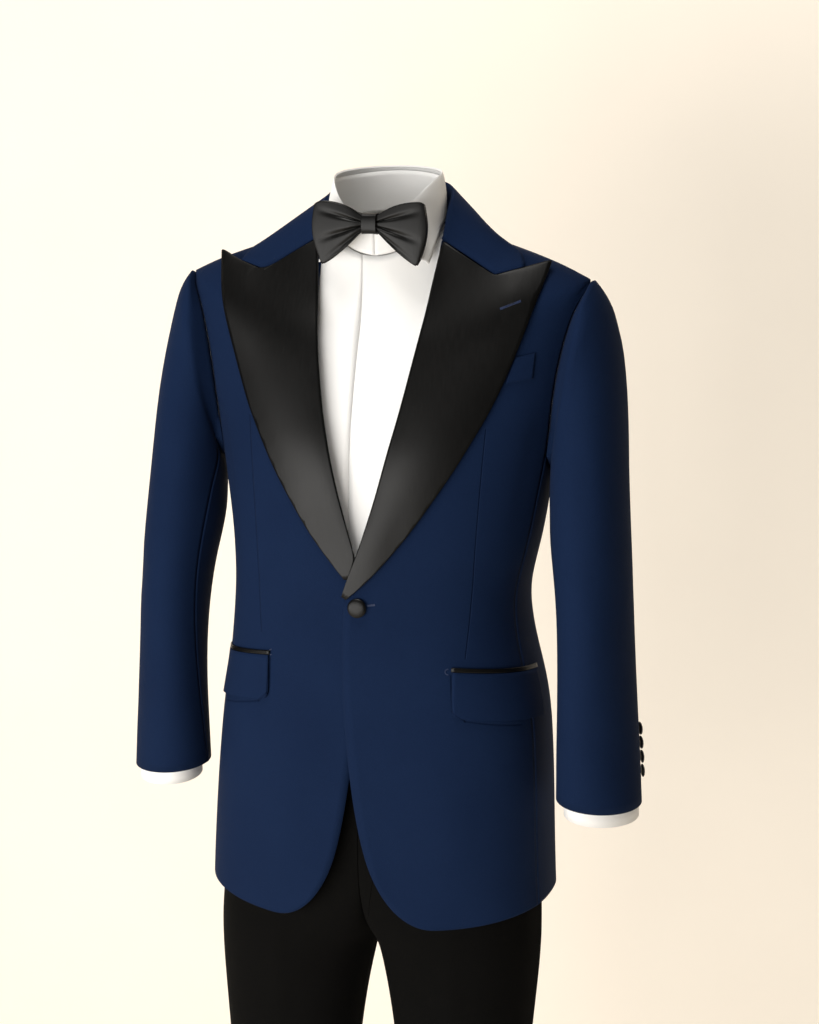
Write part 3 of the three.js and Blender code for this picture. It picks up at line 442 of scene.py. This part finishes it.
# %% Folds
TRUNK = ["jacket_front", "jacket_side", "jacket_back", "pocket_flap", "pocket_jet"]
ARMS = ["sleeve_top", "sleeve_under"]
LEGS = ["trouser_front", "trouser_back"]
SLICE_STEP, SLICE_HALF, SLICE_LEAST = 0.03, 0.02, 8
END_FADE = 0.7


def points_of(obj):
    flat = np.zeros(len(obj.data.vertices) * 3)
    obj.data.vertices.foreach_get("co", flat)
    return flat.reshape(-1, 3)


def set_points(obj, points):
    obj.data.vertices.foreach_set("co", points.ravel())
    obj.data.update()


def middle_of(names):
    """The middle line of a tube of cloth, as height and the middle's x and y."""
    cloud = np.vstack([points_of(pieces[name]) for name in names])
    heights = np.arange(cloud[:, 2].min(), cloud[:, 2].max(), SLICE_STEP)
    rows = []
    for z in heights:
        near = cloud[abs(cloud[:, 2] - z) < SLICE_HALF]
        if len(near) > SLICE_LEAST:
            x, y = ((near[:, axis].min() + near[:, axis].max()) / 2 for axis in (0, 1))
            rows.append((z, x, y))
    return np.array(rows)


def outward(points, line):
    x = np.interp(points[:, 2], line[:, 0], line[:, 1])
    y = np.interp(points[:, 2], line[:, 0], line[:, 2])
    away = np.c_[points[:, 0] - x, points[:, 1] - y, np.zeros(len(points))]
    return away / np.maximum(np.linalg.norm(away, axis=1, keepdims=True), 1e-6)


def fold_push(points, path, width, depth):
    """How far each point moves for one fold: deepest on its line, fading to its sides and its ends."""
    path = np.array(path)
    total = np.zeros(len(points))
    steps = np.linalg.norm(np.diff(path, axis=0), axis=1)
    ends = np.concatenate([[0], np.cumsum(steps)]) / steps.sum()
    for k in range(len(path) - 1):
        along = path[k + 1] - path[k]
        t = np.clip(((points - path[k]) @ along) / (along @ along), 0, 1)
        off = np.linalg.norm(points - path[k] - t[:, None] * along, axis=1)
        share = ends[k] + t * (ends[k + 1] - ends[k])
        total = np.maximum(total, np.exp(-((off / width) ** 2)) * np.sin(math.pi * share) ** END_FADE)
    return total * depth


def fold(names, line, folds):
    for name in names:
        points = points_of(pieces[name])
        push = sum(fold_push(points, *one) for one in folds)
        set_points(pieces[name], points + outward(points, line) * push[:, None])


def sided(names, tag):
    return [name + "_" + tag for name in names]


def other_side(path):
    return [(-x, y, z) for x, y, z in path]


# Each fold is its path, its half width and its depth; a trough is negative.
SLEEVE_FOLDS = [
    ([(0.222, -0.062, -0.335), (0.250, -0.078, -0.372), (0.276, -0.050, -0.398)], 0.013, -0.0026),
    ([(0.226, -0.066, -0.395), (0.252, -0.086, -0.420), (0.280, -0.058, -0.432)], 0.011, 0.0018),
    ([(0.228, -0.070, -0.500), (0.254, -0.080, -0.535), (0.286, -0.050, -0.560)], 0.012, -0.0020),
    ([(0.236, 0.040, -0.330), (0.258, 0.030, -0.375), (0.276, -0.005, -0.402)], 0.014, -0.0028),
    ([(0.216, -0.050, -0.200), (0.232, -0.064, -0.262), (0.238, -0.068, -0.330)], 0.012, -0.0018),
    ([(0.246, 0.046, -0.230), (0.262, 0.040, -0.300), (0.270, 0.022, -0.360)], 0.014, 0.0016),
]
TRUNK_FOLDS = [
    ([(0.020, -0.118, -0.400), (0.070, -0.115, -0.412), (0.120, -0.095, -0.430)], 0.014, -0.0016),
    ([(-0.016, -0.116, -0.400), (-0.066, -0.115, -0.418), (-0.112, -0.096, -0.444)], 0.015, -0.0018),
    ([(0.106, -0.106, -0.362), (0.130, -0.090, -0.373), (0.154, -0.066, -0.372)], 0.009, -0.0026),
    ([(0.108, -0.106, -0.388), (0.130, -0.090, -0.396), (0.150, -0.070, -0.398)], 0.010, 0.0012),
    ([(0.110, -0.104, -0.408), (0.132, -0.088, -0.421), (0.152, -0.068, -0.430)], 0.008, -0.0020),
    ([(-0.110, -0.104, -0.372), (-0.132, -0.088, -0.384), (-0.150, -0.070, -0.390)], 0.010, -0.0014),
    ([(0.186, -0.040, -0.190), (0.178, -0.058, -0.270), (0.166, -0.062, -0.350)], 0.014, -0.0026),
    ([(-0.186, -0.040, -0.190), (-0.177, -0.058, -0.262), (-0.167, -0.060, -0.360)], 0.013, -0.0030),
    ([(-0.070, -0.118, -0.520), (-0.082, -0.120, -0.620), (-0.096, -0.116, -0.730)], 0.024, 0.0022),
    ([(0.090, -0.112, -0.540), (0.104, -0.112, -0.640), (0.110, -0.108, -0.735)], 0.026, 0.0020),
    ([(0.060, 0.108, -0.190), (0.090, 0.100, -0.290), (0.094, 0.090, -0.380)], 0.022, -0.0030),
    ([(-0.062, 0.108, -0.190), (-0.088, 0.100, -0.270), (-0.096, 0.090, -0.370)], 0.024, -0.0026),
    ([(0.110, 0.082, -0.395), (0.030, 0.092, -0.412), (-0.060, 0.090, -0.404)], 0.013, -0.0022),
]
SHIRT = ["shirt_front_l", "shirt_front_r"]
SHIRT_FOLDS = [
    ([(-0.012, -0.070, -0.115), (-0.010, -0.092, -0.200), (-0.004, -0.100, -0.320)], 0.004, 0.0011),
    ([(0.018, -0.070, -0.125), (0.016, -0.090, -0.190), (0.012, -0.098, -0.260)], 0.005, -0.0009),
    ([(-0.034, -0.068, -0.130), (-0.031, -0.088, -0.200), (-0.026, -0.094, -0.245)], 0.005, 0.0008),
    ([(0.034, -0.066, -0.115), (0.033, -0.080, -0.150), (0.029, -0.090, -0.200)], 0.005, 0.0007),
]
LEG_FOLDS = [
    ([(0.030, -0.085, -0.800), (0.070, -0.098, -0.850), (0.110, -0.094, -0.885)], 0.012, -0.0020),
    ([(0.052, -0.086, -1.130), (0.090, -0.090, -1.165), (0.130, -0.078, -1.180)], 0.018, -0.0030),
    ([(0.130, 0.020, -1.120), (0.100, 0.044, -1.160), (0.066, 0.030, -1.190)], 0.018, -0.0034),
    ([(0.060, -0.086, -1.440), (0.096, -0.094, -1.462), (0.130, -0.078, -1.478)], 0.014, -0.0028),
    ([(0.064, 0.020, -1.480), (0.096, 0.034, -1.505), (0.130, 0.014, -1.512)], 0.014, -0.0024),
]
# The pressed crease of each leg, front and back.
LEG_PRESS = [
    ([(0.098, -0.103, -0.62), (0.100, -0.094, -0.90), (0.101, -0.088, -1.20),
      (0.098, -0.092, -1.56)], 0.006, 0.0022),
    ([(0.098, 0.090, -0.78), (0.100, 0.064, -0.95), (0.100, 0.040, -1.20),
      (0.098, 0.034, -1.56)], 0.006, 0.0022),
]
for tag, flip in (("l", lambda path: path), ("r", other_side)):
    arm = sided(ARMS, tag)
    fold(arm, middle_of(arm), [(flip(path), width, depth) for path, width, depth in SLEEVE_FOLDS])
    leg = sided(LEGS, tag)
    legs = LEG_FOLDS + LEG_PRESS
    fold(leg, middle_of(leg), [(flip(path), width, depth) for path, width, depth in legs])
trunk = sided(TRUNK, "l") + sided(TRUNK, "r")
fold(trunk, middle_of(sided(TRUNK[:3], "l") + sided(TRUNK[:3], "r")), TRUNK_FOLDS)
fold(SHIRT, middle_of(SHIRT), SHIRT_FOLDS)
both_sides = len(SLEEVE_FOLDS + LEG_FOLDS + LEG_PRESS)
print("folds", len(SHIRT_FOLDS + TRUNK_FOLDS) + 2 * both_sides)

# %% [markdown]
# A bow tie's wings are gathered under its knot, so pleats spread from there and fade before the
# open ends. The front and the back of a wing are pushed in alike, towards its middle.

# %% Bow pleats
KNOT = (0.0, -0.0636, 0.001)
PLEAT_END, PLEAT_FADE = 0.058, 0.040
# A pleat is its angle at the knot, its half width in radians and its depth.
PLEATS = [(0.24, 0.060, 2.6 * MM), (-0.30, 0.070, 3.0 * MM), (-0.66, 0.050, 1.4 * MM)]
for tag in "lr":
    wing = pieces["bow_wing_" + tag]
    points = points_of(wing)
    reach = np.abs(points[:, 0])
    angle = np.arctan2(points[:, 2] - KNOT[2], reach)
    fade = np.clip((PLEAT_END - reach) / PLEAT_FADE, 0, 1)
    inward = np.sign(KNOT[1] - points[:, 1])
    for at, wide, deep in PLEATS:
        points[:, 1] += inward * deep * fade * np.exp(-(((angle - at) / wide) ** 2))
    set_points(wing, points)

# %% [markdown]
# Two small adjustments of the cloth as it is worn: the tip of the right peak stands a little higher
# than the left one, and the collar band's ends meet under the knot.

# %% Peak and collar band
PEAK_TIP = np.array((-0.186, -0.035))  # x and z
PEAK_REACH, PEAK_RAISE = 0.020, 4.0 * MM
lapel = pieces["lapel_r"]
points = points_of(lapel)
away = np.linalg.norm(points[:, [0, 2]] - PEAK_TIP, axis=1)
points[:, 2] += PEAK_RAISE * np.exp(-((away / PEAK_REACH) ** 2))
set_points(lapel, points)

BAND_END = 4.0 * MM
BAND_CLOSE = 0.55 * MM
band = pieces["shirt_collar_stand"]
points = points_of(band)
near = (points[:, 1] < 0) & (np.abs(points[:, 0]) < BAND_END)
x = points[near, 0]
points[near, 0] -= np.sign(x) * BAND_CLOSE * (1 - np.abs(x) / BAND_END)
set_points(band, points)

# %% [markdown]
# Every piece rides on the suit's one body and stands in for its own solid, which is hidden, and the
# cut of each cloth piece is printed. The buttons are hard, so no cut is printed for them. The
# buttons are hard, so they aren't declared as cloth.

RESTS = {
    "lapel_l": "jacket_front_l", "lapel_r": "jacket_front_r",
    "jacket_collar": "jacket_back_l", "breast_welt": "jacket_front_l",
    "pocket_flap_l": "jacket_front_l", "pocket_flap_r": "jacket_front_r",
    "pocket_jet_l": "jacket_front_l", "pocket_jet_r": "jacket_front_r",
    "shirt_collar_leaf": "shirt_collar_stand", "bow_band": "shirt_collar_stand",
}
LEAST_CUT = 0.0101  # a declared sheet has a least side
LEAST_SHARE = 0.301  # and a least share of its box, which a strip cut on a curve falls under
for node, piece in pieces.items():
    alone(piece)
    bpy.ops.object.shade_smooth_by_angle(angle=SHARP)
    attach(piece, "root")
    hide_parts(node)
    if "button" in node:
        continue
    width, length, area = cuts[node]
    width, length = max(width, LEAST_CUT), max(length, LEAST_CUT)
    area = min(area, width * length)
    rests = [RESTS[node] + "_cloth"] if node in RESTS else []
    area = max(area, LEAST_SHARE * width * length)
    print(node, "cut", round(width, 3), "x", round(length, 3), "area", round(area, 4))

# %% [markdown]
# A buttonhole is worked with close stitches of silk over its edge. One short stitch is modelled,
# copied along the hole and joined. The ends of the hole are pixels of the picture, carried onto
# the cloth along the camera's line of sight.

# %% Worked buttonholes
STITCH_THICK = 0.32 * MM
STITCH_PITCH = 0.8 * MM


def on_cloth(node, pixel):
    piece = pieces[node]
    places = [vertex.co for vertex in piece.data.vertices]
    tree = BVHTree.FromPolygons(places, [tuple(face.vertices) for face in piece.data.polygons])
    start, way = ray_through(*pixel)
    place, normal, _, _ = tree.ray_cast(start, way)
    if place is None:
        raise ValueError(f"the line of sight through {pixel} misses {node}")
    return place, normal


def one_stitch(name, long):
    bpy.ops.object.select_all(action="DESELECT")
    bpy.ops.mesh.primitive_cylinder_add(vertices=8, radius=STITCH_THICK, depth=long, location=(0, 0, 0))
    made = bpy.context.object
    made.name = name
    bpy.ops.object.mode_set(mode="EDIT")
    bpy.ops.mesh.select_all(action="SELECT")
    bpy.ops.mesh.bevel(offset=0.5 * STITCH_THICK, segments=2)
    bpy.ops.object.mode_set(mode="OBJECT")
    return made


def sew(name, stitches, long, finish):
    """Sets copies of one stitch at places that each have a normal and the row's own direction."""
    pattern = one_stitch(name, long)
    shape = pattern.data.copy()
    row = []
    for k, (place, normal, along) in enumerate(stitches):
        across = along.cross(normal).normalized()
        turn = Matrix((along, normal, across)).transposed()
        copy = pattern if k == 0 else bpy.data.objects.new(name + "_part", shape.copy())
        if k:
            bpy.context.scene.collection.objects.link(copy)
        copy.data.transform(Matrix.Translation(place + normal * STITCH_THICK * 0.5) @ turn.to_4x4())
        row.append(copy)
    bpy.ops.object.select_all(action="DESELECT")
    for copy in row:
        copy.select_set(True)
    bpy.context.view_layer.objects.active = pattern
    bpy.ops.object.join()
    pattern.data.materials.clear()
    pattern.data.materials.append(finish)
    bpy.ops.object.shade_smooth_by_angle(angle=SHARP)
    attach(pattern, "root")
    print(name, len(row), "stitches")


def worked_row(name, node, pixels, long, finish):
    (start, normal), (end, _) = [on_cloth(node, pixel) for pixel in pixels]
    along = (end - start).normalized()
    count = max(3, round((end - start).length / STITCH_PITCH))
    stitches = [(start.lerp(end, (k + 0.5) / count), normal, along) for k in range(count)]
    sew(name, stitches, long, finish)


def worked_arc(name, node, pixel, radius, long, finish):
    """A half-round tack that closes the front end of a pocket's mouth."""
    centre, normal = on_cloth(node, pixel)
    side = Vector((0, 0, 1)).cross(normal).normalized()
    up = normal.cross(side).normalized()
    count = round(math.pi * radius / STITCH_PITCH)
    stitches = []
    for k in range(count + 1):
        a = math.radians(90) + math.pi * k / count
        spoke = side * math.cos(a) + up * math.sin(a)
        stitches.append((centre + spoke * radius, normal, spoke.cross(normal).normalized()))
    sew(name, stitches, long, finish)


thread_finish = Finish("navy silk thread", 0.4, Specular_IOR_Level=0.5)
twist = thread_finish.noise(1500.0, 2.0)
THREAD_TONES = (0.010, 0.020, 0.062, 1), (0.022, 0.042, 0.12, 1)
thread_finish.to("Base Color", thread_finish.mix(twist, *THREAD_TONES))
LAPEL_HOLE = [(500, 309), (521, 301)]
FRONT_HOLE = [(367, 606), (375, 605)]
TACK_RADIUS = 3.0 * MM
POCKET_TACKS = [
    ("pocket_tack_l", "jacket_front_l", (448, 672)),
    ("pocket_tack_r", "jacket_front_r", (271.5, 652)),
]
silk = thread_finish.material
worked_row("lapel_buttonhole", "lapel_l", LAPEL_HOLE, 2.6 * MM, silk)
worked_row("front_buttonhole", "jacket_front_l", FRONT_HOLE, 2.2 * MM, silk)
for name, node, pixel in POCKET_TACKS:
    worked_arc(name, node, pixel, TACK_RADIUS, 1.3 * MM, silk)

# %% [markdown]
# A plain warm wall runs into a pale floor. Satin shows what it faces: in the photograph it is black
# where the chest leans back and grey where it leans forward, so the main light is wide and
# low in front and little comes from above. The wall glows by itself, which keeps light off the
# suit's edges, and it is clear from behind, so that the back of the suit can be looked at.

# %% Stage and light
WALL_BACK = 1.0
FLOOR = CAD_BOX[0][2] - 2 * MM


def plain(name, colour, glow):
    made = Finish(name, 0.9, Emission_Strength=glow)
    mottle = made.noise(2.4, 3.0)
    paint = made.mix(mottle, tuple(c * 0.93 for c in colour) + (1,), (*colour, 1))
    made.to("Base Color", paint)
    made.to("Emission Color", paint)
    behind = made.node("ShaderNodeNewGeometry", {}, {}, "Backfacing")
    made.to("Alpha", 1 - behind)
    return made.material


def sheet_of_stage(name, size, location, rotation, colour, glow):
    bpy.ops.object.select_all(action="DESELECT")
    bpy.ops.mesh.primitive_plane_add(size=size, location=location, rotation=rotation)
    made = bpy.context.object
    made.name = name
    made.data.materials.append(plain(name + " paint", colour, glow))


CREAM = (0.80, 0.735, 0.64)
STAGE_SIZE, WALL_MIDDLE = 9, 3
sheet_of_stage("studio_floor", STAGE_SIZE, (0, 0, FLOOR), (0, 0, 0), CREAM, 0.2)
upright = (math.radians(90), 0, 0)
sheet_of_stage("studio_wall", STAGE_SIZE, (0, WALL_BACK, FLOOR + WALL_MIDDLE), upright, CREAM, 0.38)


def soft_light(name, place, at, wide, high, power, colour):
    bpy.ops.object.select_all(action="DESELECT")
    bpy.ops.object.light_add(type="AREA", location=place)
    lamp = bpy.context.object
    lamp.name = name
    lamp.data.shape = "RECTANGLE"
    lamp.data.size = wide
    lamp.data.size_y = high
    lamp.data.energy = power
    lamp.data.color = colour
    lamp.rotation_euler = (Vector(at) - Vector(place)).to_track_quat("-Z", "Y").to_euler()


soft_light("key", (-1.1, -2.4, -0.62), (0, 0, -0.45), 3.2, 1.3, 92, (1.0, 0.98, 0.95))
soft_light("above", (-0.3, -0.7, 2.2), (0, 0, -0.3), 1.2, 1.0, 42, (1.0, 0.97, 0.93))
world = bpy.data.worlds.new("studio")
bpy.context.scene.world = world
world.use_nodes = True
world.node_tree.nodes["Background"].inputs[0].default_value = (1.0, 0.95, 0.87, 1)
world.node_tree.nodes["Background"].inputs[1].default_value = 0.07
bpy.context.scene.view_settings.view_transform = "Standard"
